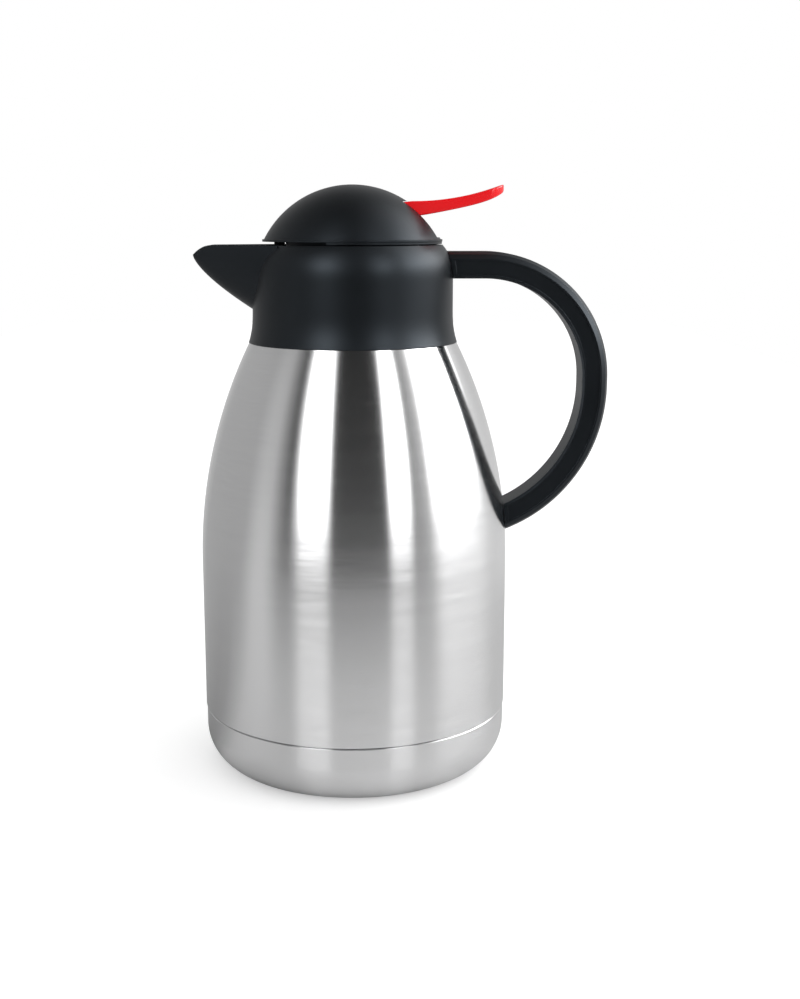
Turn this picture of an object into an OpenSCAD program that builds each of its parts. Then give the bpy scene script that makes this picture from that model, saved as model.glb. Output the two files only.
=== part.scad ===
// Insulated serving jug: a double-walled steel vacuum bottle with a moulded collar and
// spout, a loop handle, and a screw-in stopper. A red thumb lever in the domed lid pushes
// a sprung valve stem down, and the jug then pours without the lid being taken off.
// The origin is the centre of the base on the floor. +Z is up, the spout points to -X
// and the handle to +X. All sizes are in millimetres.

/* [Bottle] */
// Largest diameter of the steel body
body_d = 144.4; // [138:0.2:154]
// Height at which the straight body starts to taper
taper_z = 100; // [85:1:115]
// Height of the steel shoulder that carries the collar
shoulder_z = 202.3; // [190:0.1:215]
// Diameter of the steel at that shoulder
shoulder_d = 96; // [93:0.2:100]
// Thickness of the outer steel skin
shell_t = 0.8; // [0.5:0.1:1.2]
// Thickness of the inner steel liner
liner_t = 0.8; // [0.5:0.1:1.2]
// Width of the vacuum gap between skin and liner
vacuum_gap = 5; // [3:0.5:7]
// Inner diameter of the mouth
mouth_d = 66; // [62:0.5:67]
// Width of the vacuum gap beside the mouth
neck_gap = 2.4; // [1.6:0.1:2.8]
// Height of the neck's top above the shoulder
neck_rise = 22.5; // [19:0.5:25]
// Length of the neck's straight part
neck_h = 10; // [7:0.5:12]
// Round of the liner's bottom corner
liner_corner = 20; // [12:1:26]

/* [Base] */
// Height of the seam between base cap and skin
seam_z = 29; // [24:0.5:36]
// Width of the open seam line
seam_gap = 0.6; // [0.3:0.1:1]
// Step from the skin in to the base cap
cap_step = 0.4; // [0.1:0.1:0.8]
// Thickness of the base cap's steel
cap_t = 0.8; // [0.5:0.1:1.2]
// Breadth of the base cap's rounded corner
cap_corner_w = 19; // [12:0.5:22]
// Height of the base cap's rounded corner
cap_corner_h = 20; // [14:0.5:23]
// Width of the ring that the jug stands on
foot_ring_w = 7; // [4:0.5:10]
// Depth of the recess inside that ring
foot_recess = 2; // [1:0.5:3]
// Height of the flange that carries the vacuum plate
vacuum_floor_z = 5; // [4.5:0.5:7]

/* [Collar] */
// Height of the collar from the steel shoulder to its rim
collar_h = 44.2; // [42:0.1:48]
// Thickness of the collar's wall
collar_t = 2.5; // [2:0.1:3]
// How far the collar's foot stands proud of the steel
collar_lap = 0.3; // [0.1:0.1:0.6]
// How far the collar's foot flares out from its waist
collar_flare = 2; // [0.5:0.1:2.5]
// Height of that flare
flare_h = 15; // [8:0.5:18]
// How far the rim lies inside the waist
rim_in = 4.9; // [3:0.1:6]
// Height of the collar's rounded top
rim_round_h = 16.5; // [10:0.5:20]
// Depth of the threaded throat
throat_h = 8; // [7:0.5:10]
// Thickness of the gasket between liner and collar
gasket_t = 1.2; // [0.8:0.1:2]

/* [Spout] */
// How far the spout reaches out from the collar's waist
spout_out = 26.6; // [20:0.2:32]
// How far the spout's tip lies below the rim
spout_dip = 5.3; // [3:0.1:7]
// Height of the keel line from the collar up to the tip
spout_drop = 23.9; // [18:0.1:27]
// Width of the spout at the collar
spout_root_w = 40; // [32:1:44]
// Width of the spout's tip
spout_tip_w = 5; // [4:0.5:8]
// Thickness of the spout's wall
spout_t = 2.2; // [1.6:0.1:3]

/* [Handle] */
// How far the handle stands out beyond the body
handle_out = 46.3; // [42:0.1:50]
// How far the handle's top lies below the rim
handle_drop = 2.9; // [1.5:0.1:4]
// Thickness of the handle, seen from the side
handle_h = 12.2; // [11.5:0.1:14]
// Width of the handle, seen from behind
handle_w = 20; // [19:0.5:26]
// Outer radius of the handle's upper bend
bend_upper = 58; // [55:0.5:62]
// Outer radius of the handle's lower bend
bend_lower = 73.2; // [70:0.2:76]
// Length of the straight grip between the bends
grip_h = 3.8; // [1:0.2:8]
// Thickness of the handle's wall
handle_t = 2.6; // [2:0.1:3]
// Breadth of the bevel along the handle's back
handle_bevel = 3.3; // [2:0.1:4]
// Thickness of the strip that closes the handle's inner side
insert_t = 2.2; // [1.5:0.1:2.5]
// Depth of the sunk panel along each side of the handle
panel_depth = 0.4; // [0.2:0.05:0.8]
// Width of that panel
panel_w = 6.6; // [4:0.1:8]
// Width of the border between panel and inner side
panel_in = 1.6; // [1.2:0.1:2.5]

/* [Lid] */
// Gap between the collar's rim and the dome on the spout side
lid_gap = 1.5; // [1.2:0.1:3]
// How far the dome's edge lies inside the collar's rim
lid_inset = 1.3; // [0.8:0.1:2]
// Height of the dome
dome_h = 25.4; // [24:0.2:28]
// Thickness of the dome's wall
dome_t = 2.2; // [1.6:0.1:2.6]
// Half angle of the gap in the dome's skirt over the spout
pour_half_angle = 74; // [50:1:80]
// Thickness of the stopper's top plate
plate_t = 2; // [1.6:0.1:2.4]

/* [Stopper] */
// Depth of the stopper below the collar's clamp ring
stopper_depth = 20; // [16:0.5:21]
// Gap between the stopper and the mouth
stopper_gap = 1.4; // [1:0.1:2]
// Thickness of the stopper's wall
stopper_t = 2.8; // [2.4:0.1:3.4]
// Height of the stopper's gasket above the stopper's floor
seal_rise = 10; // [6:0.5:12]
// Height of the stopper's gasket
seal_h = 5; // [3:0.5:6]
// Number of pouring windows
window_count = 3; // [2:1:3]
// Width of one pouring window
window_w = 13; // [8:0.5:14]

/* [Valve] */
// Diameter of the valve opening in the stopper's floor
valve_d = 30; // [24:1:36]
// Thickness of the valve disc
valve_t = 3; // [2:0.5:4]
// Thickness of the valve's rubber ring
valve_seal_t = 2.4; // [1.6:0.1:3]
// Diameter of the valve stem
stem_d = 6; // [5:0.5:7]
// Diameter of the push cap on the stem
stem_cap_d = 12; // [11:0.5:13]
// Height of the push cap
stem_cap_h = 3.2; // [2.6:0.1:4]
// Inner diameter of the spring cup
cup_d = 15; // [14:0.5:18]
// Depth of the spring cup below the plate's top
cup_depth = 12; // [10:0.5:14]
// Diameter of the spring's wire
wire_d = 1; // [0.8:0.1:1.2]
// Number of coils in the spring
coil_count = 6; // [4:1:7]

/* [Lever] */
// Distance from the lever's pin to the valve stem
lever_arm = 22; // [20:0.5:24]
// Height of the lever's pin above the plate
pin_rise = 6.4; // [6:0.1:6.8]
// Diameter of the lever's pin
pin_d = 3.5; // [3:0.1:4]
// Full travel of the lever in degrees
press_angle = 9; // [6:0.5:9]
// Width of the lever
lever_w = 22; // [16:0.5:24]
// Distance from the jug's axis to the lever's tip
lever_reach = 69; // [60:0.5:80]
// Rise of the lever's tip above its pin
lever_tip_rise = 17.2; // [14:0.1:20]
// Rise of the lever's top above its pin where it leaves the dome
lever_back_rise = 9.25; // [8.5:0.05:10]
// Thickness of the lever's tip
lever_tip_t = 3.2; // [2:0.1:4]

/* [Fasteners] */
// Diameter of a handle screw's shank
handle_screw_d = 3.5; // [3:0.1:4]
// Diameter of a handle screw's head
handle_head_d = 6.4; // [6:0.1:7]
// Diameter of a lid screw's shank
lid_screw_d = 2.8; // [2.4:0.1:3]
// Diameter of a lid screw's head
lid_head_d = 5; // [4.5:0.1:5.4]

/* [Clearances] */
// Running clearance of a shaft in its hole
run_fit = 0.08; // [0.03:0.01:0.1]
// Clearance between pieces that slip past each other
slip_fit = 0.3; // [0.25:0.05:0.4]
// Clearance between fixed pieces
seat_fit = 0.2; // [0.1:0.05:0.3]

/* [Hidden] */

$fn = 96;
eps = 0.01;
taper_steps = 18;
corner_steps = 8;
black = [0.07, 0.075, 0.08];
steel = [0.75, 0.75, 0.76];
rubber = [0.85, 0.85, 0.83];
red = [0.88, 0.05, 0.06];

// Bottle
body_r = body_d / 2;
shoulder_r = shoulder_d / 2;
mouth_r = mouth_d / 2;
taper_rise = shoulder_z - taper_z;
taper_in = body_r - shoulder_r;
taper_arc_r = (pow(taper_rise, 2) + pow(taper_in, 2)) / (2 * taper_in);
neck_r = mouth_r + liner_t + neck_gap + shell_t;
neck_top_z = shoulder_z + neck_rise;
neck_base_z = neck_top_z - neck_h;
liner_in = shell_t + vacuum_gap;
liner_floor_z = 13.2;
liner_drop = 9.5;
liner_shoulder_z = shoulder_z - liner_drop;
liner_cone_h = 10;
liner_neck_z = neck_base_z - liner_cone_h;
getter_x = 22;
getter_r = 5;
seat_ring_w = collar_t + collar_lap;

// Base
cap_r = body_r - cap_step;
joggle_r = cap_r - cap_t - seat_fit;
foot_r = cap_r - cap_corner_w;
corner_in = 4;
joggle_h = 8;
shell_corner_w = cap_corner_w - corner_in;
shell_corner_h = seam_z - joggle_h - vacuum_floor_z;
plate_seat_w = 6;
dish_slope_w = 10;
dish_h = 2.4;
dimple_r = 3;
dimple_h = 0.6;

// Collar
waist_r = shoulder_r + collar_lap - collar_flare;
rim_r = waist_r - rim_in;
rim_z = shoulder_z + collar_h;
clamp_z = neck_top_z + liner_t + gasket_t;
deck_z = clamp_z + throat_h;
throat_r = mouth_r + seat_fit;

// Spout
tip_x = waist_r + spout_out;
tip_z = rim_z - spout_dip;
lip_curve = 9;
lip_t = 0.9;
spout_steps = 10;

// Handle
handle_top_z = rim_z - handle_drop;
handle_x = body_r + handle_out;
upper_x = handle_x - bend_upper;
lower_x = handle_x - bend_lower;
bend_z = handle_top_z - bend_upper;
lower_z = bend_z - grip_h;
pocket_w = handle_w - 2 * handle_t;
web_t = 2;
web_in = insert_t + 0.4;
lug_in = web_in + web_t + seat_fit;
lug_h = handle_h - handle_t - seat_fit - lug_in;
head_h = 2;
upper_screw_x = waist_r + handle_head_d / 2 + 3;
lug_end_x = upper_screw_x + 4;
lower_end_angle = acos((body_r - lower_x) / (bend_lower - handle_h / 2));
past_skin_angle = 12;
panel_end_gap = 2.5;
panel_end_angle = 3.5;
lower_screw_angle = 6.5 - lower_end_angle;
pad_low_z = lower_z - (bend_lower - handle_h / 2) * sin(lower_end_angle) - 3;
pad_high_z = pad_low_z + 6;
boss_t = 2.4;
bracket_t = 2;

// Lid
lid_r = rim_r - lid_inset;
dome_z = rim_z + lid_gap;
dome_r = (pow(lid_r, 2) + pow(dome_h, 2)) / (2 * dome_h);
dome_centre_z = dome_z + dome_h - dome_r;
plate_top_z = dome_z + plate_t;
plate_r = sqrt(pow(dome_r - dome_t, 2) - pow(plate_top_z - dome_centre_z, 2)) - seat_fit;
skirt_z = rim_z + 0.7;

// Stopper
stopper_r = mouth_r - stopper_gap;
stopper_floor_z = clamp_z - stopper_depth;
stopper_floor_t = 2.5;
thread_r = throat_r - slip_fit;
thread_z = clamp_z + 1;
thread_h = throat_h - 2;
upper_r = stopper_r - 1;
lid_screw_r = upper_r + lid_head_d / 2 + slip_fit;
lid_screw_bite = 5;
lid_head_h = 1.2;
groove_r = stopper_r - 1.2;
seal_z = stopper_floor_z + seal_rise;

// Valve
valve_r = valve_d / 2;
disc_r = valve_r + 3;
disc_z = stopper_floor_z - 0.1 - valve_seal_t - valve_t;
stem_r = stem_d / 2;
cup_r = cup_d / 2;
cup_t = 1.5;
cup_floor_z = plate_top_z - cup_depth;
guide_t = 2.5;

// Lever
pin_z = plate_top_z + pin_rise;
pin_r = pin_d / 2;
nose_r = 4;
nose_z = pin_z + lever_arm * sin(press_angle / 2);
stem_top_z = nose_z - nose_r - 0.05;
cap_base_z = stem_top_z - stem_cap_h;
hub_r = 4.2;
ear_t = 2.5;
ear_y = lever_w / 2 + slip_fit;
lever_exit_x = 27;
lever_exit_t = 6.2;
lever_top_sag = 2.5;
lever_low_sag = 1.6;
slot_gap = 1;
slot_in = 7;

// Outline helpers --------------------------------------------------------------

// Radius of the steel skin at height z
function skin_r(z) = z <= taper_z
    ? body_r
    : body_r - taper_arc_r + sqrt(pow(taper_arc_r, 2) - pow(z - taper_z, 2));

// Tapering skin from the end of the straight body to height z, moved inwards by d
function taper_line(z, d) = [
    for (i = [0 : taper_steps])
        let (h = taper_z + (z - taper_z) * i / taper_steps)
            [skin_r(h) - d, h]];

// Rounded bottom corner, from the floor side at height z up to the wall at radius r
function corner_line(r, z, w, h) = [
    for (i = [0 : corner_steps])
        let (a = 90 * i / corner_steps)
            [r - w + w * sin(a), z + h - h * cos(a)]];

// Outer radius of the collar at height z
function collar_r(z) = z < shoulder_z + flare_h
    ? waist_r + collar_flare * pow(1 - (z - shoulder_z) / flare_h, 2.5)
    : z < rim_z - rim_round_h
        ? waist_r
        : waist_r - rim_in * pow((z - rim_z + rim_round_h) / rim_round_h, 3);

// Side of the collar from foot to rim, moved inwards by d
function collar_line(d) = concat(
    [for (i = [0 : corner_steps])
        let (h = shoulder_z + flare_h * i / corner_steps)
            [collar_r(h) - d, h]],
    [for (i = [0 : corner_steps])
        let (h = rim_z - rim_round_h * (1 - i / corner_steps))
            [collar_r(h) - d, h]]);

function reversed(line) = [for (i = [len(line) - 1 : -1 : 0]) line[i]];

// Points from p to q on a curve that sags below the chord by s in its middle
function sagging(p, q, s) = [
    for (i = [0 : corner_steps])
        let (u = i / corner_steps)
            [p[0] + (q[0] - p[0]) * u, p[1] + (q[1] - p[1]) * u - 4 * s * u * (1 - u)]];

module ring(r_in, r_out, z, h) {
    translate([0, 0, z])
        difference() {
            cylinder(r = r_out, h = h);
            translate([0, 0, -1])
                cylinder(r = r_in, h = h + 2);
        }
}

// A block centred on the XZ plane
module block(x0, x1, w, z0, z1) {
    translate([x0, -w / 2, z0])
        cube([x1 - x0, w, z1 - z0]);
}

// Bottle and collar as one solid form, grown by c, for trimming what meets them
module jug_form(c) {
    rotate_extrude()
        polygon(concat(
            [[0, seam_z], [body_r + c, seam_z]],
            taper_line(shoulder_z, -c),
            collar_line(-c),
            [[0, rim_z]]));
}

// Bottle -------------------------------------------------------------------------

module outer_shell() {
    seat_r = shoulder_r - seat_ring_w;
    color(steel)
        rotate_extrude()
            polygon(concat(
                [[joggle_r - shell_corner_w - plate_seat_w, vacuum_floor_z]],
                corner_line(joggle_r, vacuum_floor_z, shell_corner_w, shell_corner_h),
                [[joggle_r, seam_z], [body_r, seam_z + seam_gap]],
                taper_line(shoulder_z, 0),
                [[seat_r, shoulder_z], [neck_r, neck_base_z], [neck_r, neck_top_z],
                 [neck_r - shell_t, neck_top_z], [neck_r - shell_t, neck_base_z],
                 [seat_r - shell_t, shoulder_z - shell_t]],
                reversed(taper_line(shoulder_z - shell_t, shell_t)),
                [[body_r - shell_t, seam_z + seam_gap + shell_t],
                 [joggle_r - shell_t, seam_z + shell_t]],
                reversed(corner_line(joggle_r - shell_t, vacuum_floor_z + shell_t,
                    shell_corner_w - shell_t, shell_corner_h - shell_t)),
                [[joggle_r - shell_corner_w - plate_seat_w, vacuum_floor_z + shell_t]]));
}

module inner_liner() {
    liner_r = body_r - liner_in;
    color(steel)
        rotate_extrude()
            polygon(concat(
                [[0, liner_floor_z]],
                corner_line(liner_r, liner_floor_z, liner_corner, liner_corner),
                taper_line(liner_shoulder_z, liner_in),
                [[mouth_r + liner_t, liner_neck_z], [mouth_r + liner_t, neck_top_z],
                 [neck_r, neck_top_z], [neck_r, neck_top_z + liner_t],
                 [mouth_r, neck_top_z + liner_t], [mouth_r, liner_neck_z]],
                reversed(taper_line(liner_shoulder_z, liner_in + liner_t)),
                reversed(corner_line(liner_r - liner_t, liner_floor_z + liner_t,
                    liner_corner - liner_t, liner_corner - liner_t)),
                [[0, liner_floor_z + liner_t]]));
}

// Pressed plate that closes the vacuum space, with the sealing dimple in its middle
module vacuum_plate() {
    seat_z = vacuum_floor_z + shell_t;
    edge_r = joggle_r - shell_corner_w - 2;
    rise_r = edge_r - dish_slope_w;
    dish_r = rise_r - dish_slope_w;
    dish_z = seat_z + dish_h;
    dimple_z = seat_z + dimple_h;
    lower_side = [[0, dimple_z], [dimple_r, dimple_z], [2 * dimple_r, dish_z],
        [dish_r, dish_z], [rise_r, seat_z], [edge_r, seat_z]];
    color(steel)
        rotate_extrude()
            polygon(concat(lower_side, [for (p = reversed(lower_side)) p + [0, shell_t]]));
}

// Capsule that keeps the vacuum, spot-welded under the liner
module getter() {
    getter_h = 2.2;
    color(steel)
        translate([getter_x, 0, liner_floor_z - getter_h])
            cylinder(r = getter_r, h = getter_h);
}

module base_cap() {
    ring_in = foot_r - foot_ring_w;
    color(steel)
        rotate_extrude()
            polygon(concat(
                [[0, foot_recess], [ring_in - foot_recess, foot_recess], [ring_in, 0]],
                corner_line(cap_r, 0, cap_corner_w, cap_corner_h),
                [[cap_r, seam_z], [cap_r - cap_t, seam_z]],
                reversed(corner_line(cap_r - cap_t, cap_t,
                    cap_corner_w - cap_t, cap_corner_h - cap_t)),
                [[ring_in + cap_t / 2, cap_t],
                 [ring_in - foot_recess + cap_t / 2, foot_recess + cap_t],
                 [0, foot_recess + cap_t]]));
}

// Collar -------------------------------------------------------------------------

// Half width, top and keel of the spout at distance v from its tip
function spout_w(v) = (spout_tip_w
    + (spout_root_w - spout_tip_w) * pow(max(v, 0) / spout_out, 0.8)) / 2;
function spout_top(v) = v > lip_curve
    ? rim_z
    : rim_z - (spout_dip - lip_t) * pow(1 - max(v, 0) / lip_curve, 2);
function spout_keel(v) = tip_z - spout_drop * pow(max(v, 0) / spout_out, 0.72);

// The spout's outer section and its pouring channel, each a half ellipse
function spout_section(v) =
    [for (a = [-90 : 15 : 90])
        [-tip_x + v, spout_w(v) * sin(a),
         spout_top(v) - (spout_top(v) - spout_keel(v)) * cos(a)]];
function channel_section(v) =
    let (depth = spout_top(v) - spout_keel(v),
         w = max(spout_w(v) - spout_t, 0.6 * spout_w(v)),
         h = min(max(depth - spout_t, 0.5 * depth), rim_z - deck_z),
         open_z = rim_z + 5)
    concat(
        [[-tip_x + v, -w, open_z]],
        [for (a = [-90 : 15 : 90]) [-tip_x + v, w * sin(a), spout_top(v) - h * cos(a)]],
        [[-tip_x + v, w, open_z]]);

// A solid through equal sections
module loft(sections) {
    m = len(sections[0]);
    n = len(sections);
    polyhedron(
        points = [for (s = sections) each s],
        faces = concat(
            [[for (k = [0 : m - 1]) k]],
            [for (i = [0 : n - 2], k = [0 : m - 1])
                let (a = i * m + k, b = i * m + (k + 1) % m)
                each [[a, a + m, b + m], [a, b + m, b]]],
            [[for (k = [m - 1 : -1 : 0]) (n - 1) * m + k]]));
}

module spout_outside() {
    root = tip_x - throat_r;
    loft([for (i = [0 : spout_steps]) spout_section(root * pow(i / spout_steps, 1.6))]);
}

module spout_channel() {
    root = tip_x - throat_r;
    loft(concat(
        [[for (p = channel_section(0)) p - [2, 0, 0]]],
        [for (i = [0 : spout_steps]) channel_section(root * pow(i / spout_steps, 1.6))]));
}

module collar() {
    sleeve_r = neck_r + slip_fit;
    deck_t = 2.5;
    sleeve_z = neck_base_z + 0.5;
    color(black)
        difference() {
            union() {
                rotate_extrude()
                    polygon(concat([[0, shoulder_z]], collar_line(0), [[0, rim_z]]));
                spout_outside();
                handle_lug();
            }
            rotate_extrude()
                polygon(concat(
                    [[0, clamp_z - eps], [throat_r, clamp_z - eps], [throat_r, deck_z],
                     [collar_r(deck_z) - collar_t, deck_z]],
                    [for (p = collar_line(collar_t)) if (p[1] > deck_z) p],
                    [[rim_r - collar_t, rim_z + 1], [0, rim_z + 1]]));
            rotate_extrude()
                polygon(concat(
                    [[0, shoulder_z - 1], [waist_r + collar_flare - collar_t, shoulder_z - 1]],
                    [for (p = collar_line(collar_t)) if (p[1] < deck_z - deck_t) p],
                    [[waist_r - collar_t, deck_z - deck_t],
                     [throat_r + 3, deck_z - deck_t], [throat_r + 3, clamp_z + deck_t],
                     [sleeve_r + collar_t, clamp_z + deck_t],
                     [sleeve_r + collar_t, sleeve_z], [sleeve_r, sleeve_z],
                     [sleeve_r, clamp_z], [0, clamp_z]]));
            spout_channel();
            upper_screw_hole(handle_screw_d / 2);
        }
}

// Tongue on the collar that the handle's upper end slips over
module handle_lug() {
    low_z = handle_top_z - handle_h + lug_in;
    block(shoulder_r - collar_t - 8, lug_end_x, pocket_w - 2 * seat_fit,
        low_z, low_z + lug_h);
}

module collar_gasket() {
    color(rubber)
        ring(throat_r, neck_r, neck_top_z + liner_t, gasket_t);
}

// Handle -------------------------------------------------------------------------

// Sweeps a flat section along the handle, from start_x near the collar to an end angle on
// the lower bend: x runs from its inner to its outer side
module along_handle(start_x, end_angle) {
    translate([upper_x, 0, handle_top_z - handle_h])
        rotate([0, -90, 0])
            linear_extrude(height = upper_x - start_x)
                children();
    translate([upper_x, 0, bend_z])
        bend(bend_upper, 90)
            children();
    translate([handle_x - handle_h, 0, lower_z])
        linear_extrude(height = grip_h)
            children();
    translate([lower_x, 0, lower_z])
        mirror([0, 0, 1])
            bend(bend_lower, end_angle)
                children();
}

// The same sweep run into the collar and the body, for what is trimmed to them
module through_handle() {
    along_handle(rim_r - 3, lower_end_angle + past_skin_angle)
        children();
}

// Turns a flat section up from +X about the Y axis, with r as its outer radius
module bend(r, angle) {
    rotate([90, 0, 0])
        rotate_extrude(angle = angle)
            translate([r - handle_h, 0])
                children();
}

// Places children at the lower bend's radius r, with +X pointing outwards
module at_lower_bend(r) {
    translate([lower_x, 0, lower_z])
        rotate([0, -lower_screw_angle, 0])
            translate([r, 0, 0])
                rotate([0, 90, 0])
                    children();
}

module handle_section() {
    half = handle_w / 2;
    edge = 1;
    back = [[handle_h - handle_bevel, half], [handle_h - 1.3, half - 1.5],
        [handle_h, half - 4.2]];
    polygon(concat(
        [[0, half - edge], [edge, half]],
        back,
        [for (p = reversed(back)) [p[0], -p[1]]],
        [[edge, -half], [0, edge - half]]));
}

module upper_screw_hole(r) {
    translate([upper_screw_x, 0, handle_top_z - handle_h - 1])
        cylinder(r = r, h = lug_in + lug_h + 2);
}

module handle_shell() {
    pocket_h = handle_h - handle_t;
    web_z = handle_top_z - handle_h + web_in;
    color(black)
        difference() {
            union() {
                difference() {
                    through_handle()
                        handle_section();
                    through_handle()
                        translate([-1, -pocket_w / 2])
                            square([pocket_h + 1, pocket_w]);
                    side_panels();
                }
                block(waist_r - 10, lug_end_x + 1.5, pocket_w + 1, web_z, web_z + web_t);
                at_lower_bend(bend_lower - handle_t - boss_t)
                    cylinder(r = handle_head_d / 2 + 2, h = boss_t + handle_t / 2);
            }
            jug_form(seat_fit);
            upper_screw_hole(handle_screw_d / 2 + seat_fit);
            at_lower_bend(bend_lower - handle_t - boss_t - 1)
                cylinder(r = handle_screw_d / 2 + seat_fit, h = boss_t + handle_t);
            at_lower_bend(bend_lower - head_h - 0.4)
                cylinder(r = handle_head_d / 2 + seat_fit, h = 6);
        }
}

// The two sunk panels in the handle's sides, which stop short of both its ends
module side_panels() {
    for (side = [-1, 1])
        along_handle(waist_r + panel_end_gap, lower_end_angle - panel_end_angle)
            translate([panel_in, side * (handle_w / 2 + 1 - panel_depth) - 1])
                square([panel_w, 2]);
}

// Strip that closes the hollow handle on its inner side
module handle_insert() {
    color(black)
        difference() {
            through_handle()
                translate([0, seat_fit - pocket_w / 2])
                    square([insert_t, pocket_w - 2 * seat_fit]);
            jug_form(seat_fit);
            upper_screw_hole(handle_head_d / 2 + slip_fit);
        }
}

// Cone that follows the skin behind the bracket's pad
module pad_cone() {
    c = 0.05;
    reach = 12;
    low_r = skin_r(pad_low_z);
    high_r = skin_r(pad_high_z);
    lean = reach * (low_r - high_r) / (pad_high_z - pad_low_z);
    rotate_extrude()
        polygon([[0, pad_low_z - reach], [low_r + lean + c, pad_low_z - reach],
            [high_r - lean + c, pad_high_z + reach], [0, pad_high_z + reach]]);
}

// Steel bracket welded to the body: a pad hollowed to the skin, with a flat arm inside the
// handle
module handle_bracket() {
    pad_t = 1.3;
    arm_r = bend_lower - handle_t - boss_t - seat_fit - bracket_t;
    arm_w = pocket_w - 2;
    color(steel)
        difference() {
            union() {
                at_lower_bend(arm_r)
                    block(-6.5, 12, arm_w, 0, bracket_t);
                block(body_r - 10, skin_r(pad_low_z) + pad_t, arm_w, pad_low_z, pad_high_z);
            }
            pad_cone();
            at_lower_bend(arm_r - 1)
                cylinder(r = handle_screw_d / 2 + eps, h = bracket_t + 2);
        }
}

// Pan-head screw whose head's underside is at z = 0 and whose shank points up
module pan_screw(shank_d, head_d, length, height) {
    socket_d = head_d * 0.45;
    difference() {
        union() {
            cylinder(r = shank_d / 2, h = length);
            translate([0, 0, -height])
                cylinder(r = head_d / 2, h = height);
        }
        translate([0, 0, -height - 1])
            cylinder(r = socket_d / 2, h = 2, $fn = 6);
    }
}

module upper_handle_screw() {
    color(steel)
        translate([upper_screw_x, 0, handle_top_z - handle_h + web_in])
            pan_screw(handle_screw_d - 2 * eps, handle_head_d, web_t + lug_h - 1.2, head_h);
}

module lower_handle_screw() {
    color(steel)
        at_lower_bend(bend_lower - head_h - 0.4)
            rotate([180, 0, 0])
                pan_screw(handle_screw_d - 2 * eps, handle_head_d, boss_t + bracket_t + 2.6, head_h);
}

// Lid ----------------------------------------------------------------------------

module lid_dome() {
    lip = 0.4;
    color(black)
        difference() {
            union() {
                difference() {
                    dome_form(dome_r);
                    translate([0, 0, dome_centre_z])
                        sphere(r = dome_r - dome_t);
                }
                ring(plate_r + seat_fit, lid_r + lip, dome_z, 0.9);
                difference() {
                    ring(plate_r + seat_fit, lid_r, skirt_z, dome_z + 0.5 - skirt_z);
                    pour_sector();
                }
                intersection() {
                    dome_form(dome_r - dome_t / 2);
                    at_lid_screws()
                        translate([0, 0, plate_top_z])
                            cylinder(r = lid_screw_d / 2 + 1.6, h = dome_h);
                }
            }
            block(lever_arm - slot_in, 2 * lid_r, lever_w + 2 * slot_gap,
                dome_z + 1.8, pin_z + lever_back_rise + slot_gap);
            at_lid_screws()
                translate([0, 0, plate_top_z - 1])
                    cylinder(r = lid_screw_d / 2, h = lid_screw_bite + 1.5);
        }
}

module dome_form(r) {
    intersection() {
        translate([0, 0, dome_centre_z])
            sphere(r = r);
        translate([0, 0, dome_z])
            cylinder(r = dome_r, h = dome_h + 1);
    }
}

// Wedge over the spout that the dome's skirt leaves open
module pour_sector() {
    far = 2 * lid_r;
    translate([0, 0, rim_z - 1])
        linear_extrude(height = lid_gap + 1)
            polygon([[0, 0],
                [-far * cos(pour_half_angle), far * sin(pour_half_angle)], [-far, far],
                [-far, -far],
                [-far * cos(pour_half_angle), -far * sin(pour_half_angle)]]);
}

module at_lid_screws() {
    for (a = [90, 180, 270])
        rotate([0, 0, a])
            translate([lid_screw_r, 0, 0])
                children();
}

module lid_screws() {
    color(steel)
        at_lid_screws()
            translate([0, 0, dome_z])
                pan_screw(lid_screw_d - 2 * eps, lid_head_d, plate_t + lid_screw_bite,
                    lid_head_h);
}

// Stopper ------------------------------------------------------------------------

// Threaded cup with pouring windows towards the spout and an air vent opposite, under a
// plate that carries the dome, the spring cup and the lever
module stopper_body() {
    window_low_z = deck_z + 1.5;
    window_high_z = dome_z - 2.6;
    window_in = cup_r + cup_t + 4;
    window_turn = 30;
    vent_w = 6;
    vent_low_z = window_low_z + 4;
    cup_base_z = cup_floor_z - guide_t;
    color(black)
        difference() {
            union() {
                ring(valve_r, stopper_r, stopper_floor_z, stopper_floor_t);
                ring(stopper_r - stopper_t, stopper_r, stopper_floor_z,
                    thread_z - stopper_floor_z);
                ring(stopper_r - stopper_t, thread_r, thread_z, thread_h);
                ring(upper_r - stopper_t, upper_r, thread_z, dome_z + eps - thread_z);
                ring(cup_r, plate_r, dome_z, plate_t);
                ring(stem_r + run_fit, cup_r + cup_t, cup_base_z, guide_t);
                ring(cup_r, cup_r + cup_t, cup_base_z, plate_top_z - cup_base_z);
                lever_ears();
            }
            ring(groove_r, stopper_r + 1, seal_z, seal_h);
            for (i = [0 : window_count - 1])
                rotate([0, 0, 180 + window_turn * (i - (window_count - 1) / 2)])
                    block(window_in, stopper_r + 2, window_w, window_low_z, window_high_z);
            block(window_in, stopper_r + 2, vent_w, vent_low_z, window_high_z);
            at_lid_screws()
                translate([0, 0, dome_z - 1])
                    cylinder(r = lid_screw_d / 2 + seat_fit, h = plate_t + 2);
        }
}

// The two ears that hold the lever's pin
module lever_ears() {
    for (side = [-1, 1])
        translate([-lever_arm, side * (ear_y + ear_t / 2), 0])
            difference() {
                union() {
                    block(-hub_r, hub_r, ear_t, plate_top_z - eps, pin_z);
                    across(hub_r, ear_t, pin_z);
                }
                across(pin_r, ear_t + 1, pin_z);
            }
}

// A cylinder along Y, centred at height z
module across(r, w, z) {
    translate([0, w / 2, z])
        rotate([90, 0, 0])
            cylinder(r = r, h = w);
}

module stopper_gasket() {
    color(rubber)
        ring(groove_r + run_fit, mouth_r - run_fit, seal_z + run_fit,
            seal_h - 2 * run_fit);
}

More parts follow.
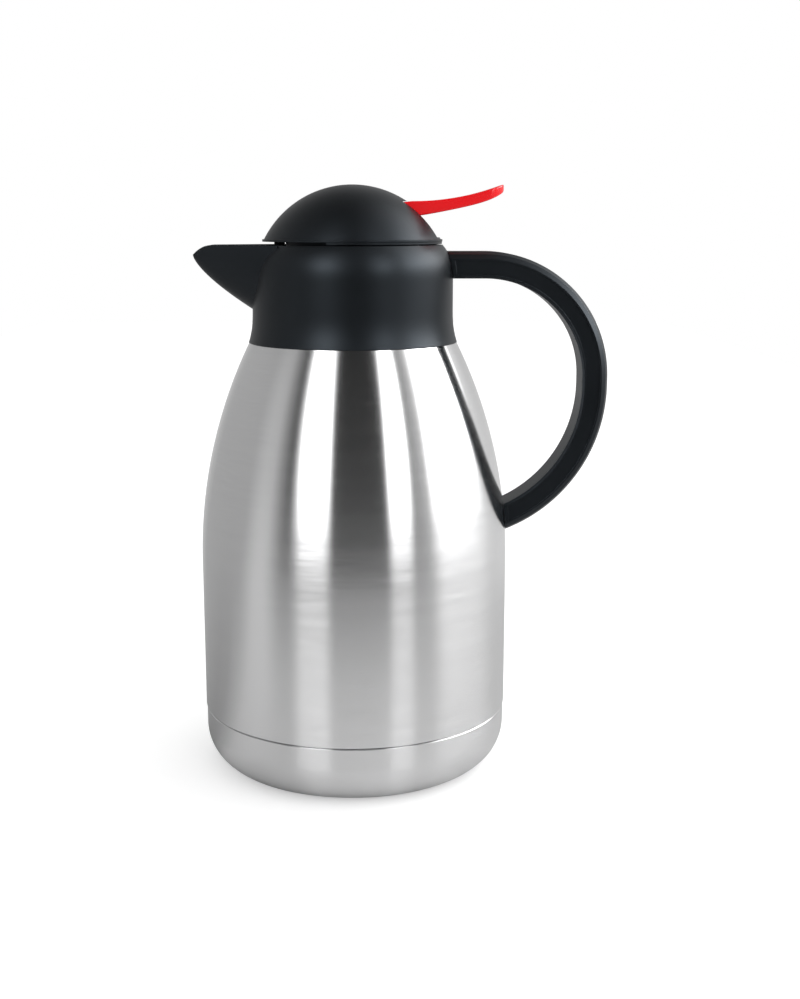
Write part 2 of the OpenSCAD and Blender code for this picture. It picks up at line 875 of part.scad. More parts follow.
// Valve --------------------------------------------------------------------------

module valve_stem() {
    color(rubber)
        translate([0, 0, disc_z + 1.5])
            cylinder(r = stem_r, h = cap_base_z + 2 - disc_z - 1.5);
}

module stem_cap() {
    color(rubber)
        difference() {
            translate([0, 0, cap_base_z])
                cylinder(r = stem_cap_d / 2, h = stem_cap_h);
            translate([0, 0, cap_base_z - 1])
                cylinder(r = stem_r + eps, h = 3 + eps);
        }
}

module valve_disc() {
    hub_h = 6;
    color(black)
        difference() {
            union() {
                translate([0, 0, disc_z])
                    cylinder(r = disc_r, h = valve_t);
                translate([0, 0, disc_z])
                    cylinder(r = stem_r + 2.5, h = valve_t + hub_h);
            }
            translate([0, 0, disc_z + 1.5 - eps])
                cylinder(r = stem_r + eps, h = valve_t + hub_h);
        }
}

module valve_seal() {
    color(rubber)
        ring(valve_r - 3, disc_r - 0.4, disc_z + valve_t, valve_seal_t);
}

// Compression spring under the push cap: its first and last coils lie flat
module valve_spring() {
    wire_r = wire_d / 2;
    coil_r = (stem_r + run_fit + cup_r) / 2;
    low_z = cup_floor_z + wire_r;
    free_h = cap_base_z - cup_floor_z - wire_d - 0.05;
    steps = 14;
    sides = 6;
    function rise(t) = free_h * min(max((t - 0.75) / (coil_count - 1.5), 0), 1);
    color(steel)
        loft([for (i = [0 : coil_count * steps])
            let (t = i / steps)
            [for (k = [sides - 1 : -1 : 0])
                let (a = 360 * k / sides, r = coil_r + wire_r * cos(a))
                    [r * cos(360 * t), r * sin(360 * t),
                     low_z + rise(t) + wire_r * sin(a)]]]);
}

// Lever --------------------------------------------------------------------------

module lever() {
    exit_z = pin_z + lever_back_rise;
    tip_top = [lever_reach, pin_z + lever_tip_rise];
    tip_low = [lever_reach, pin_z + lever_tip_rise - lever_tip_t];
    corner = 4;
    color(red)
        difference() {
            intersection() {
                union() {
                    translate([0, lever_w / 2, 0])
                        rotate([90, 0, 0])
                            linear_extrude(height = lever_w)
                                polygon(concat(
                                    [[-lever_arm, pin_z + hub_r]],
                                    sagging([lever_exit_x, exit_z], tip_top,
                                        lever_top_sag),
                                    sagging(tip_low, [lever_exit_x, exit_z - lever_exit_t],
                                        lever_low_sag),
                                    [[nose_r, nose_z - nose_r + 1.2],
                                     [-lever_arm, pin_z - hub_r + 1]]));
                    translate([-lever_arm, 0, 0])
                        across(hub_r, lever_w, pin_z);
                    across(nose_r, lever_w - 6, nose_z);
                }
                translate([0, 0, plate_top_z])
                    linear_extrude(height = 2 * dome_h)
                        union() {
                            translate([-2 * lever_arm, -lever_w / 2])
                                square([lever_reach + 2 * lever_arm - corner, lever_w]);
                            translate([0, corner - lever_w / 2])
                                square([lever_reach, lever_w - 2 * corner]);
                            for (side = [-1, 1])
                                translate([lever_reach - corner,
                                    side * (lever_w / 2 - corner)])
                                    circle(r = corner);
                        }
            }
            translate([-lever_arm, 0, 0])
                across(pin_r + run_fit, lever_w + 2, pin_z);
        }
}

module lever_pin() {
    color(steel)
        translate([-lever_arm, 0, 0])
            across(pin_r - eps, 2 * (ear_y + ear_t), pin_z);
}

outer_shell();
inner_liner();
vacuum_plate();
getter();
base_cap();
collar();
collar_gasket();
handle_shell();
handle_insert();
handle_bracket();
upper_handle_screw();
lower_handle_screw();
lid_dome();
lid_screws();
stopper_body();
stopper_gasket();
valve_stem();
stem_cap();
valve_disc();
valve_seal();
valve_spring();
lever();
lever_pin();
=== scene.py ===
# %% [markdown]
# # A steel jug with a lever lid
# This file dresses a working CAD model of an insulated jug: brushed steel below, satin
# black mouldings above, and one gloss red lever. The CAD model gives the places and the
# outer sizes, so each piece here is built where the real one sits. Only the finishes and
# the light are judged.

# %% Load the frame
import math

import bmesh
import bpy
import numpy as np
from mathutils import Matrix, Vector


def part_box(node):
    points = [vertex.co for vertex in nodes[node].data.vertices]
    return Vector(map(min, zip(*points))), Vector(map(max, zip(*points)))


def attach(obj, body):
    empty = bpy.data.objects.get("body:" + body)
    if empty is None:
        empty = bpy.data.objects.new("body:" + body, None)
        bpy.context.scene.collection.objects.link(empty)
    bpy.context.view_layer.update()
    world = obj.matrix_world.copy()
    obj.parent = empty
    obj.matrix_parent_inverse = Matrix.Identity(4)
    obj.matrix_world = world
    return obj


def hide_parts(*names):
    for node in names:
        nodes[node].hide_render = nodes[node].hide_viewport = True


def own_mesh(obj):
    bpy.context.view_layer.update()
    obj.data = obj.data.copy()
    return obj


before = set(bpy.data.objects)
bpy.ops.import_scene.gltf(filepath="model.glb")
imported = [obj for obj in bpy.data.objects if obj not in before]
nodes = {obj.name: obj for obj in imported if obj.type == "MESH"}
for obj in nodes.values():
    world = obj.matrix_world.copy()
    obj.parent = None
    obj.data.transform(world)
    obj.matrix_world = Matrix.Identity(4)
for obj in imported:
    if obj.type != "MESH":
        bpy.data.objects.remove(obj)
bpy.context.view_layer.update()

# %% [markdown]
# ## Sizes
# A maker's drawing is in millimetres and Blender works in metres. Outlines below are
# written in millimetres and scaled once, when the mesh is made. What a node's box can tell
# is read from the box, so it follows the CAD model. Wall thicknesses and small radii can't
# be read that way and are written out.

# %% Sizes from the frame
MM = 0.001


def low(node):
    """Lowest corner of a CAD node, in millimetres."""
    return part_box(node)[0] / MM


def high(node):
    """Highest corner of a CAD node, in millimetres."""
    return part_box(node)[1] / MM


body_r = high("outer_shell").y
cap_r = high("base_cap").y
seam_z = high("base_cap").z
shoulder_z = low("collar").z
rim_z = high("collar").z
collar_foot_r = high("collar").y
spout_tip_x = -low("collar").x
neck_top_z = high("outer_shell").z
handle_x = high("handle_shell").x
handle_top_z = high("handle_shell").z
handle_half_w = high("handle_shell").y
dome_top_z = high("lid_dome").z
lever_half_w = high("lever").y
lever_tip_x = high("lever").x
lever_top_z = high("lever").z
print("body radius", round(body_r, 2), "rim", round(rim_z, 2), "top", round(lever_top_z, 2))

# %% Sizes that a box can't tell
taper_z = 100.0
shoulder_r = 48.0
sheet_t = 0.8
seam_gap = 0.6
cap_corner_w = 19.0
cap_corner_h = 20.0
mouth_r = 33.0
neck_gap = 2.4
neck_h = 10.0
vacuum_gap = 5.0
collar_t = 2.5
waist_r = 46.3
rim_r = 41.4
flare_h = 15.0
rim_round_h = 16.5
throat_r = 33.2
throat_h = 8.0
gasket_t = 1.2
print("waist radius", waist_r, "mouth radius", mouth_r)

# %% [markdown]
# ## Outlines that are turned about the jug's axis
# A spun bottle, a turned collar and a domed lid are all one idea: an outline in the plane
# of radius and height, carried once round the axis. Blender's Screw modifier and the Spin
# operator can do it. A small Geometry Nodes tree is used here instead, because the same
# tree then serves every round piece, with its number of segments and its finish as inputs.

# %% Points along simple curves
crowding = 1.6


def line_of(f, start, end, steps):
    """Points f(t) for t from start to end, both included."""
    return [f(start + (end - start) * i / steps) for i in range(steps + 1)]


def crowded(length, steps):
    """Distances from 0 to length that lie closer together near 0."""
    return [length * (i / steps) ** crowding for i in range(steps + 1)]


def quarter(r, z, w, h, steps=16):
    """Rounded bottom corner from the floor side up to the wall at radius r."""
    return line_of(
        lambda a: (r - w + w * math.sin(a), z + h - h * math.cos(a)), 0, math.pi / 2, steps)


def bowl(x, half_w, top, depth, steps=36):
    """Half an ellipse across the jug at x, hanging from a height."""
    return line_of(lambda a: (x, half_w * math.sin(a), top - depth * math.cos(a)),
                   -math.pi / 2, math.pi / 2, steps)


def oblong(x0, x1, y0, y1):
    """The four corners of an oblong."""
    return [(x0, y0), (x1, y0), (x1, y1), (x0, y1)]


def inwards(outline, d):
    """The same points, d nearer to the axis."""
    return [(r - d, z) for r, z in outline]


# %% What all node trees share
def new_group(kind, name, inputs, outputs):
    """A node group with named sockets, and its two end nodes."""
    tree = bpy.data.node_groups.new(name, kind)
    for label, data, *value in inputs:
        socket = tree.interface.new_socket(label, in_out="INPUT",
                                           socket_type="NodeSocket" + data)
        if value:
            socket.default_value = value[0]
    for label, data in outputs:
        tree.interface.new_socket(label, in_out="OUTPUT", socket_type="NodeSocket" + data)
    return tree, tree.nodes.new("NodeGroupInput"), tree.nodes.new("NodeGroupOutput")


def feed(tree, node, inputs):
    """Gives a node's inputs plain values, or links them to sockets."""
    for label, value in inputs.items():
        if isinstance(value, bpy.types.NodeSocket):
            tree.links.new(value, node.inputs[label])
        else:
            node.inputs[label].default_value = value
    return node


def add(tree, kind, inputs):
    """A new node with its inputs fed."""
    return feed(tree, tree.nodes.new(kind), inputs)


def painted_end(tree, shape, given, result):
    """Ends a geometry tree: instances made real, then the finish set."""
    real = add(tree, "GeometryNodeRealizeInstances", {0: shape})
    paint = add(tree, "GeometryNodeSetMaterial",
                {"Geometry": real.outputs[0], "Material": given.outputs["Finish"]})
    tree.links.new(paint.outputs[0], result.inputs[0])


# %% The tree that turns an outline
# The sweep runs along a circle of this radius, and outlines are measured from it.
circle_r = 0.02


def turning_tree():
    """Outline in, solid of revolution out."""
    tree, given, result = new_group(
        "GeometryNodeTree", "turned on the axis",
        [("Outline", "Geometry"), ("Segments", "Int"), ("Circle Radius", "Float"),
         ("Finish", "Material")], [("Turned", "Geometry")])
    circle = add(tree, "GeometryNodeCurvePrimitiveCircle",
                 {"Resolution": given.outputs["Segments"],
                  "Radius": given.outputs["Circle Radius"]})
    outline = add(tree, "GeometryNodeMeshToCurve", {0: given.outputs["Outline"]})
    sweep = add(tree, "GeometryNodeCurveToMesh",
                {"Curve": circle.outputs["Curve"], "Profile Curve": outline.outputs[0]})
    painted_end(tree, sweep.outputs[0], given, result)
    return tree


TURNING = turning_tree()
print("tree:", TURNING.name)


# %% Finished meshes
weld_dist = 0.004 * MM
sliver_dist = 0.002 * MM
# Segments round the axis, from the polished steel down to what is hidden.
FINE, ROUND, HIDDEN = 256, 224, 160


def new_object(name, mesh):
    """An object at the origin with that mesh, linked to the scene."""
    obj = bpy.data.objects.new(name, mesh)
    bpy.context.scene.collection.objects.link(obj)
    return obj


def frozen(obj):
    """Replaces an object's mesh by what its modifiers make of it, and removes them."""
    graph = bpy.context.evaluated_depsgraph_get()
    mesh = bpy.data.meshes.new_from_object(obj.evaluated_get(graph))
    obj.modifiers.clear()
    obj.data = mesh
    mesh.name = obj.name
    return obj


def from_tree(obj, tree, values):
    """Lets a tree work on an object with these values, and freezes the result."""
    step = obj.modifiers.new(tree.name, "NODES")
    step.node_group = tree
    for socket in tree.interface.items_tree:
        if socket.name in values:
            step[socket.identifier] = values[socket.name]
    return frozen(obj)


def closed(obj, smooth_angle=32):
    """Merges doubles, turns faces outwards and smooths all but the sharp edges."""
    work = bmesh.new()
    work.from_mesh(obj.data)
    bmesh.ops.remove_doubles(work, verts=work.verts, dist=weld_dist)
    bmesh.ops.dissolve_degenerate(work, edges=work.edges, dist=sliver_dist)
    bmesh.ops.recalc_face_normals(work, faces=work.faces)
    limit = math.radians(smooth_angle)
    for edge in work.edges:
        edge.smooth = edge.calc_face_angle(math.pi) < limit
    for face in work.faces:
        face.smooth = True
    work.to_mesh(obj.data)
    work.free()
    return obj


def turned(name, outline, finish, segments=ROUND):
    """A closed outline of (radius, height) points in millimetres, turned about the axis."""
    mesh = bpy.data.meshes.new(name)
    points = [(r * MM - circle_r, -z * MM, 0) for r, z in outline]
    count = len(points)
    mesh.from_pydata(points, [(i, (i + 1) % count) for i in range(count)], [])
    values = {"Segments": segments, "Circle Radius": circle_r, "Finish": finish}
    return closed(from_tree(new_object(name, mesh), TURNING, values))


# %% Lofts and cuts
# Cutting forms reach past what they cut, so that no two faces lie in one plane.
past = 1.0


def lofted(name, rings, finish=None):
    """A closed solid through rings of points in millimetres, all with the same count."""
    count = len(rings[0])
    faces = [tuple(range(count))[::-1]]
    for i in range(len(rings) - 1):
        for k in range(count):
            a, b = i * count + k, i * count + (k + 1) % count
            faces.append((a, b, b + count, a + count))
    last = (len(rings) - 1) * count
    faces.append(tuple(last + k for k in range(count)))
    mesh = bpy.data.meshes.new(name)
    mesh.from_pydata([tuple(c * MM for c in p) for ring in rings for p in ring], [], faces)
    if finish:
        mesh.materials.append(finish)
    return closed(new_object(name, mesh))


def combined(obj, other, how):
    """Joins, cuts or trims obj with another closed mesh, which is then removed."""
    step = obj.modifiers.new(how, "BOOLEAN")
    step.operation = how
    step.solver = "EXACT"
    step.object = other
    frozen(obj)
    bpy.data.objects.remove(other)
    return obj


def cut(obj, *forms):
    """Takes closed forms away from obj, one after another."""
    for form in forms:
        combined(obj, form, "DIFFERENCE")


def block(name, x0, x1, half_w, z0, z1):
    """A plain cutting block, centred on the jug's plane of symmetry."""
    ring = oblong(-half_w, half_w, z0, z1)
    return lofted(name, [[(x, y, z) for y, z in ring] for x in (x0, x1)])


def rod(name, base, along, r, length, steps=40):
    """A round bar from a base point along a direction, for bores and bosses."""
    base, along = Vector(base), Vector(along).normalized()
    side = along.orthogonal().normalized()
    up = along.cross(side)
    turn = [2 * math.pi * k / steps for k in range(steps)]
    return lofted(name, [[tuple(base + along * t + side * (r * math.cos(a))
                                + up * (r * math.sin(a))) for a in turn]
                         for t in (0, length)])


print("helpers ready")

# %% [markdown]
# ## Shared surface effects
# Two effects are used by more than one finish, so each is a node group. Brush lines are
# very thin streaks that run round the axis: a noise that is stretched far more across the
# height than round the body. Moulded skin is the faint grain and cloudiness that a steel
# mould leaves on plastic. Each group puts out a mask and a normal, and the shader itself
# stays in the material.

# %% Node helpers
def noise(tree, vector, scale, detail=2.0, rough=0.5):
    """A noise texture read at that vector. Its scale may be a socket or a number."""
    node = add(tree, "ShaderNodeTexNoise", {"Vector": vector, "Scale": scale,
                                            "Detail": detail, "Roughness": rough})
    return node.outputs["Fac"]


def math_node(tree, operation, a, b=None):
    """A Math node on one or two sockets or numbers."""
    node = add(tree, "ShaderNodeMath", {0: a} if b is None else {0: a, 1: b})
    node.operation = operation
    return node.outputs[0]


def times(tree, a, b):
    """The product of two sockets or numbers."""
    return math_node(tree, "MULTIPLY", a, b)


def mapped(tree, value, low_in, high_in, low_out, high_out, smooth=False):
    """A value carried from one range to another and clamped there."""
    node = add(tree, "ShaderNodeMapRange", {
        "Value": value, "From Min": low_in, "From Max": high_in, "To Min": low_out,
        "To Max": high_out})
    node.interpolation_type = "SMOOTHSTEP" if smooth else "LINEAR"
    return node.outputs["Result"]


def mixed(tree, flag, otherwise, then, data="FLOAT"):
    """One of two numbers or colours, or a mix of both, by a flag from 0 to 1."""
    node = tree.nodes.new("ShaderNodeMix")
    node.data_type = data
    feed(tree, node, {"Factor": flag, "A": otherwise, "B": then})
    return node.outputs["Result"]


def bumped(tree, given, height, strength, distance):
    """Bump over the normal that a group is given: distance is in millimetres."""
    node = add(tree, "ShaderNodeBump", {
        "Distance": distance * MM, "Strength": given.outputs[strength], "Height": height,
        "Normal": given.outputs["Normal"]})
    return node.outputs["Normal"]


# %% Brush lines
groove_depth = 0.02
broad_scale = 0.13
fine_share, broad_share = 0.7, 0.3


def brush_group():
    """Streaks round the axis, and the normal of the grooves that make them."""
    tree, given, result = new_group(
        "ShaderNodeTree", "brush lines",
        [("Across", "Float", 2600.0), ("Along", "Float", 60.0), ("Depth", "Float", 0.2),
         ("Normal", "Vector")], [("Streak", "Float"), ("Normal", "Vector")])
    along, across = given.outputs["Along"], given.outputs["Across"]
    stretch = add(tree, "ShaderNodeCombineXYZ", {"X": along, "Y": along, "Z": across})
    place = tree.nodes.new("ShaderNodeTexCoord").outputs["Object"]
    scaled = add(tree, "ShaderNodeVectorMath", {0: place, 1: stretch.outputs[0]})
    scaled.operation = "MULTIPLY"
    fine = noise(tree, scaled.outputs[0], 1.0, detail=4.0, rough=0.6)
    broad = noise(tree, scaled.outputs[0], broad_scale)
    both = math_node(tree, "ADD", times(tree, fine, fine_share),
                     times(tree, broad, broad_share))
    feed(tree, result, {"Streak": both,
                        "Normal": bumped(tree, given, both, "Depth", groove_depth)})
    return tree


BRUSH = brush_group()
print("group:", BRUSH.name)


# %% Moulded skin
grain_depth = 0.05


def skin_group():
    """A cloudy tone, and the normal of a fine grain."""
    tree, given, result = new_group(
        "ShaderNodeTree", "moulded skin",
        [("Grain Scale", "Float", 2600.0), ("Grain Depth", "Float", 0.1),
         ("Cloud Scale", "Float", 26.0), ("Normal", "Vector")],
        [("Cloud", "Float"), ("Normal", "Vector")])
    place = tree.nodes.new("ShaderNodeTexCoord").outputs["Object"]
    grain = noise(tree, place, given.outputs["Grain Scale"])
    cloud = noise(tree, place, given.outputs["Cloud Scale"], detail=3.0)
    feed(tree, result, {"Cloud": cloud,
                        "Normal": bumped(tree, given, grain, "Grain Depth", grain_depth)})
    return tree


SKIN = skin_group()
print("group:", SKIN.name)

# %% [markdown]
# ## Finishes
# Brushed steel isn't just a rough mirror. Each brush line is a tiny groove, and grooves
# spread light across themselves and hardly along themselves. So the reflections of upright
# lamps stay crisp at their sides and smear up and down. The Principled shader does that
# with Anisotropic, and a Tangent node tells it which way the grooves run.

# %% Materials
# Noise seldom leaves this range.
MASK_RANGE = (0.3, 0.7)
quarter_turn = 0.25
blue_sheen = (0.86, 1.0, 1.14, 1)


def shader(name):
    """A new material, its tree and its Principled BSDF."""
    made = bpy.data.materials.new(name)
    made.use_nodes = True
    return made, made.node_tree, made.node_tree.nodes["Principled BSDF"]


def rounded(tree, radius):
    """Normals that soften every edge by that radius in millimetres, as a mould does."""
    node = add(tree, "ShaderNodeBevel", {"Radius": radius * MM})
    node.samples = 6
    return node.outputs["Normal"]


def steel(name, dark, light, rough, spread, across, along, depth):
    """Steel with lines round the axis: rough is a range, spread how anisotropic it is."""
    made, tree, bsdf = shader(name)
    lines = tree.nodes.new("ShaderNodeGroup")
    lines.node_tree = BRUSH
    feed(tree, lines, {"Across": across, "Along": along, "Depth": depth})
    streak = lines.outputs["Streak"]
    grooves = tree.nodes.new("ShaderNodeTangent")
    grooves.direction_type = "RADIAL"
    grooves.axis = "Z"
    feed(tree, bsdf, {
        "Base Color": mixed(tree, streak, (*dark, 1), (*light, 1), data="RGBA"),
        "Roughness": mapped(tree, streak, *MASK_RANGE, *rough),
        "Normal": lines.outputs["Normal"], "Tangent": grooves.outputs[0], "Metallic": 1.0,
        "Anisotropic": spread, "Anisotropic Rotation": quarter_turn})
    return made


def plastic(name, dark, light, rough, grain, edge, level=0.5):
    """Moulded plastic with a faint grain: rough is a range, edge a radius in millimetres."""
    made, tree, bsdf = shader(name)
    skin = tree.nodes.new("ShaderNodeGroup")
    skin.node_tree = SKIN
    feed(tree, skin, {"Grain Depth": grain, "Normal": rounded(tree, edge)})
    cloud = skin.outputs["Cloud"]
    feed(tree, bsdf, {
        "Base Color": mixed(tree, cloud, (*dark, 1), (*light, 1), data="RGBA"),
        "Roughness": mapped(tree, cloud, *MASK_RANGE, *rough),
        "Normal": skin.outputs["Normal"], "Specular IOR Level": level})
    return made


brushed = steel("brushed steel", (0.76, 0.76, 0.77), (0.88, 0.88, 0.88),
                rough=(0.17, 0.23), spread=1.0, across=2600, along=60, depth=0.12)
drawn = steel("drawn steel", (0.52, 0.52, 0.53), (0.62, 0.62, 0.62),
              rough=(0.3, 0.42), spread=0.6, across=900, along=30, depth=0.15)
bright = steel("bright wire", (0.56, 0.56, 0.57), (0.68, 0.68, 0.69),
               rough=(0.2, 0.3), spread=0.2, across=3000, along=900, depth=0.1)
# Painted shade: the lid screws get near black steel, so that they sink into the shade of the
# gap under the lid.
gap_shade_steel = steel("blackened screw", (0.010, 0.010, 0.011), (0.020, 0.020, 0.021),
                  rough=(0.4, 0.5), spread=0.2, across=3000, along=900, depth=0.1)
black = plastic("satin black", (0.0022, 0.0025, 0.0030), (0.0040, 0.0046, 0.0056),
                rough=(0.36, 0.42), grain=0.12, edge=0.35, level=0.32)
red = plastic("gloss red", (0.86, 0.004, 0.008), (0.91, 0.007, 0.012),
              rough=(0.16, 0.22), grain=0.03, edge=0.3)
silicone = plastic("silicone", (0.70, 0.70, 0.66), (0.80, 0.80, 0.77),
                   rough=(0.5, 0.62), grain=0.1, edge=0.3)
acetal = plastic("white acetal", (0.74, 0.74, 0.71), (0.82, 0.82, 0.80),
                 rough=(0.3, 0.4), grain=0.06, edge=0.3)
black.node_tree.nodes["Principled BSDF"].inputs["Specular Tint"].default_value = blue_sheen
finishes = (brushed, drawn, bright, gap_shade_steel, black, red, silicone, acetal)
print("finishes:", [finish.name for finish in finishes])

# %% [markdown]
# ## The steel skin and the base cap
# The body is spun from one sheet: straight up to the belly, then a long arc in to the
# shoulder. The base cap is a second cup, pressed and pushed on from below, so a thin open
# seam shows between them. The sheet has a real thickness on both, because the seam and the
# recess under the foot show its edge.

# %% Skin
taper_rise = shoulder_z - taper_z
taper_in = body_r - shoulder_r
arc_r = (taper_rise ** 2 + taper_in ** 2) / (2 * taper_in)
joggle_fit = 0.2
joggle_h = 8
joggle_r = cap_r - sheet_t - joggle_fit
flange_w = 6
flange_z = low("outer_shell").z
corner_step = 4
shell_corner_w = cap_corner_w - corner_step
shell_corner_h = seam_z - joggle_h - flange_z
flange_r = joggle_r - shell_corner_w - flange_w
neck_r = mouth_r + sheet_t + neck_gap + sheet_t
neck_base_z = neck_top_z - neck_h
seat_fit = 0.3
seat_r = shoulder_r - collar_t - seat_fit
roll_r = 0.4


def skin_radius(z):
    """Radius of the steel at height z."""
    if z <= taper_z:
        return body_r
    return body_r - arc_r + math.sqrt(arc_r ** 2 - (z - taper_z) ** 2)


def taper(top, steps=48):
    """The arc from the straight body up to height top."""
    return line_of(lambda z: (skin_radius(z), z), taper_z, top, steps)


edge_z = seam_z + seam_gap
edge_roll = line_of(lambda a: (body_r - roll_r + roll_r * math.cos(a),
                               edge_z + roll_r + roll_r * math.sin(a)), -math.pi / 2, 0, 4)
straight_low, straight_high = edge_z + 1, taper_z - 2
straight = line_of(lambda z: (body_r, z), straight_low, straight_high, 12)
outline = [(flange_r, flange_z)] + quarter(joggle_r, flange_z, shell_corner_w, shell_corner_h)
outline += [(joggle_r, seam_z)] + edge_roll + straight + taper(shoulder_z)
outline += [(seat_r, shoulder_z), (neck_r, neck_base_z), (neck_r, neck_top_z),
            (neck_r - sheet_t, neck_top_z), (neck_r - sheet_t, neck_base_z),
            (seat_r - sheet_t, shoulder_z - sheet_t)]
outline += inwards(taper(shoulder_z - sheet_t, steps=24), sheet_t)[::-1]
outline += [(body_r - sheet_t, edge_z + sheet_t), (joggle_r - sheet_t, seam_z + sheet_t)]
outline += quarter(joggle_r - sheet_t, flange_z + sheet_t, shell_corner_w - sheet_t,
                   shell_corner_h - sheet_t)[::-1]
outline += [(flange_r, flange_z + sheet_t)]
skin = turned("steel_skin", outline, brushed, FINE)
print("skin faces:", len(skin.data.polygons))

# %% Base cap
foot_r = cap_r - cap_corner_w
foot_ring_w = 7.0
foot_in = foot_r - foot_ring_w
recess = 2.0
edge_bevel = 0.3
outline = [(0, recess), (foot_in - recess, recess), (foot_in, 0)]
outline += quarter(cap_r, 0, cap_corner_w, cap_corner_h, steps=28)
outline += line_of(lambda z: (cap_r, z), cap_corner_h + 2, seam_z - edge_bevel, 3)
outline += [(cap_r - edge_bevel, seam_z), (cap_r - sheet_t, seam_z)]
outline += quarter(cap_r - sheet_t, sheet_t, cap_corner_w - sheet_t,
                   cap_corner_h - sheet_t)[::-1]
outline += [(foot_in + sheet_t / 2, sheet_t),
            (foot_in - recess + sheet_t / 2, recess + sheet_t), (0, recess + sheet_t)]
cap = turned("base_cup", outline, brushed, FINE)
print("cap faces:", len(cap.data.polygons))

# %% [markdown]
# ## The liner
# With the lid off, the inner bottle shows. It is a second spun sheet, welded to the skin at
# the top of the neck, and plain drawn steel inside. Its outline is the skin's own arc,
# moved inwards by the vacuum gap, so the gap is even all the way up.

# %% Liner
liner_r = body_r - sheet_t - vacuum_gap
liner_floor = low("inner_liner").z
liner_top = high("inner_liner").z
liner_drop = 9.5
liner_shoulder = shoulder_z - liner_drop
liner_neck_h = 10
liner_neck = neck_base_z - liner_neck_h
corner = 20.0
gap = sheet_t + vacuum_gap
outline = [(0, liner_floor)] + quarter(liner_r, liner_floor, corner, corner)
outline += inwards(taper(liner_shoulder, steps=32), gap)
outline += [(mouth_r + sheet_t, liner_neck), (mouth_r + sheet_t, neck_top_z),
            (neck_r, neck_top_z), (neck_r, liner_top), (mouth_r, liner_top),
            (mouth_r, liner_neck)]
outline += inwards(taper(liner_shoulder, steps=32), gap + sheet_t)[::-1]
outline += quarter(liner_r - sheet_t, liner_floor + sheet_t, corner - sheet_t,
                   corner - sheet_t)[::-1]
outline += [(0, liner_floor + sheet_t)]
liner = turned("drinking_liner", outline, drawn, HIDDEN)
print("liner faces:", len(liner.data.polygons))

# %% [markdown]
# ## The collar and its spout
# The collar is one moulding: a turned wall, a spout that grows out of it, a pouring channel
# and a throat for the stopper. A sculptor would model it as one skin. Here it is made the
# way a mould-maker cuts it: a full turned form and a lofted spout are joined, and then the
# hollows are cut away, so each wall keeps its thickness.

# %% Collar wall
clamp_z = liner_top + gasket_t
deck_z = clamp_z + throat_h
flare_power, rim_power = 2.5, 3


def collar_radius(z):
    """Outer radius of the collar: a flared foot, a straight waist and a rounded top."""
    if z < shoulder_z + flare_h:
        foot = (1 - (z - shoulder_z) / flare_h) ** flare_power
        return waist_r + (collar_foot_r - waist_r) * foot
    if z < rim_z - rim_round_h:
        return waist_r
    top = ((z - rim_z + rim_round_h) / rim_round_h) ** rim_power
    return waist_r - (waist_r - rim_r) * top


def collar_side(start, end, d=0.0, steps=40):
    """The collar's side between two heights, d inwards."""
    return line_of(lambda z: (collar_radius(z) - d, z), start, end, steps)


def collar_form(name):
    """The collar's outside as a full turned solid."""
    side = collar_side(shoulder_z, rim_z, steps=56)
    return turned(name, [(0, shoulder_z)] + side + [(0, rim_z)], black)


# %% Spout
spout_out = spout_tip_x - waist_r
spout_dip = 5.3
spout_drop = 23.9
spout_root_w = 40.0
spout_tip_w = 5.0
spout_t = 2.2
lip_curve = 9.0
lip_t = 0.9
width_power, keel_power = 0.8, 0.72
least_w, least_h = 0.6, 0.5
spout_len = spout_tip_x - throat_r


def spout_half_w(v):
    """Half the spout's width at a distance v from its tip."""
    return (spout_tip_w + (spout_root_w - spout_tip_w) * (v / spout_out) ** width_power) / 2


def spout_top(v):
    """Height of the spout's upper edge: level, then dipping to the lip."""
    return rim_z - (spout_dip - lip_t) * max(0.0, 1 - v / lip_curve) ** 2


def spout_keel(v):
    """Height of the spout's underside in its middle."""
    return rim_z - spout_dip - spout_drop * (v / spout_out) ** keel_power


def spout_ring(v):
    """The spout's outer section at v: half an ellipse closed by its level top."""
    top = spout_top(v)
    return bowl(v - spout_tip_x, spout_half_w(v), top, top - spout_keel(v))


def channel_ring(v):
    """The pouring channel's section at v, open upwards."""
    depth = spout_top(v) - spout_keel(v)
    w = max(spout_half_w(v) - spout_t, least_w * spout_half_w(v))
    h = min(max(depth - spout_t, least_h * depth), rim_z - deck_z)
    x, open_z = v - spout_tip_x, rim_z + 5 * past
    return [(x, -w, open_z)] + bowl(x, w, spout_top(v), h) + [(x, w, open_z)]


stations = crowded(spout_len, steps=40)
spout = lofted("spout_form", [spout_ring(v) for v in stations])
mouth_ring = [(x - 2 * past, y, z) for x, y, z in channel_ring(0)]
channel = lofted("channel_form", [mouth_ring] + [channel_ring(v) for v in stations])
print("spout reaches", round(spout_out, 1), "mm beyond the waist")

# %% Lug that carries the handle
handle_h = 12.2
handle_t = 2.6
pocket_half_w = handle_half_w - handle_t
screw_r = 1.75
head_r = 3.2
fit = 0.2
web_rise = 2.6
web_z = handle_top_z - handle_h + web_rise
web_t = 2.0
lug_z = web_z + web_t + fit
lug_h = handle_top_z - handle_t - fit - lug_z
lug_half_w = pocket_half_w - fit
up = (0, 0, 1)
screw_out, screw_run = 3, 1
upper_screw = (waist_r + head_r + screw_out, 0, handle_top_z - handle_h - screw_run)
lug_over = 4
lug_end_x = upper_screw[0] + lug_over
print("lug ends at", round(lug_end_x, 1), "and starts at height", round(lug_z, 1))

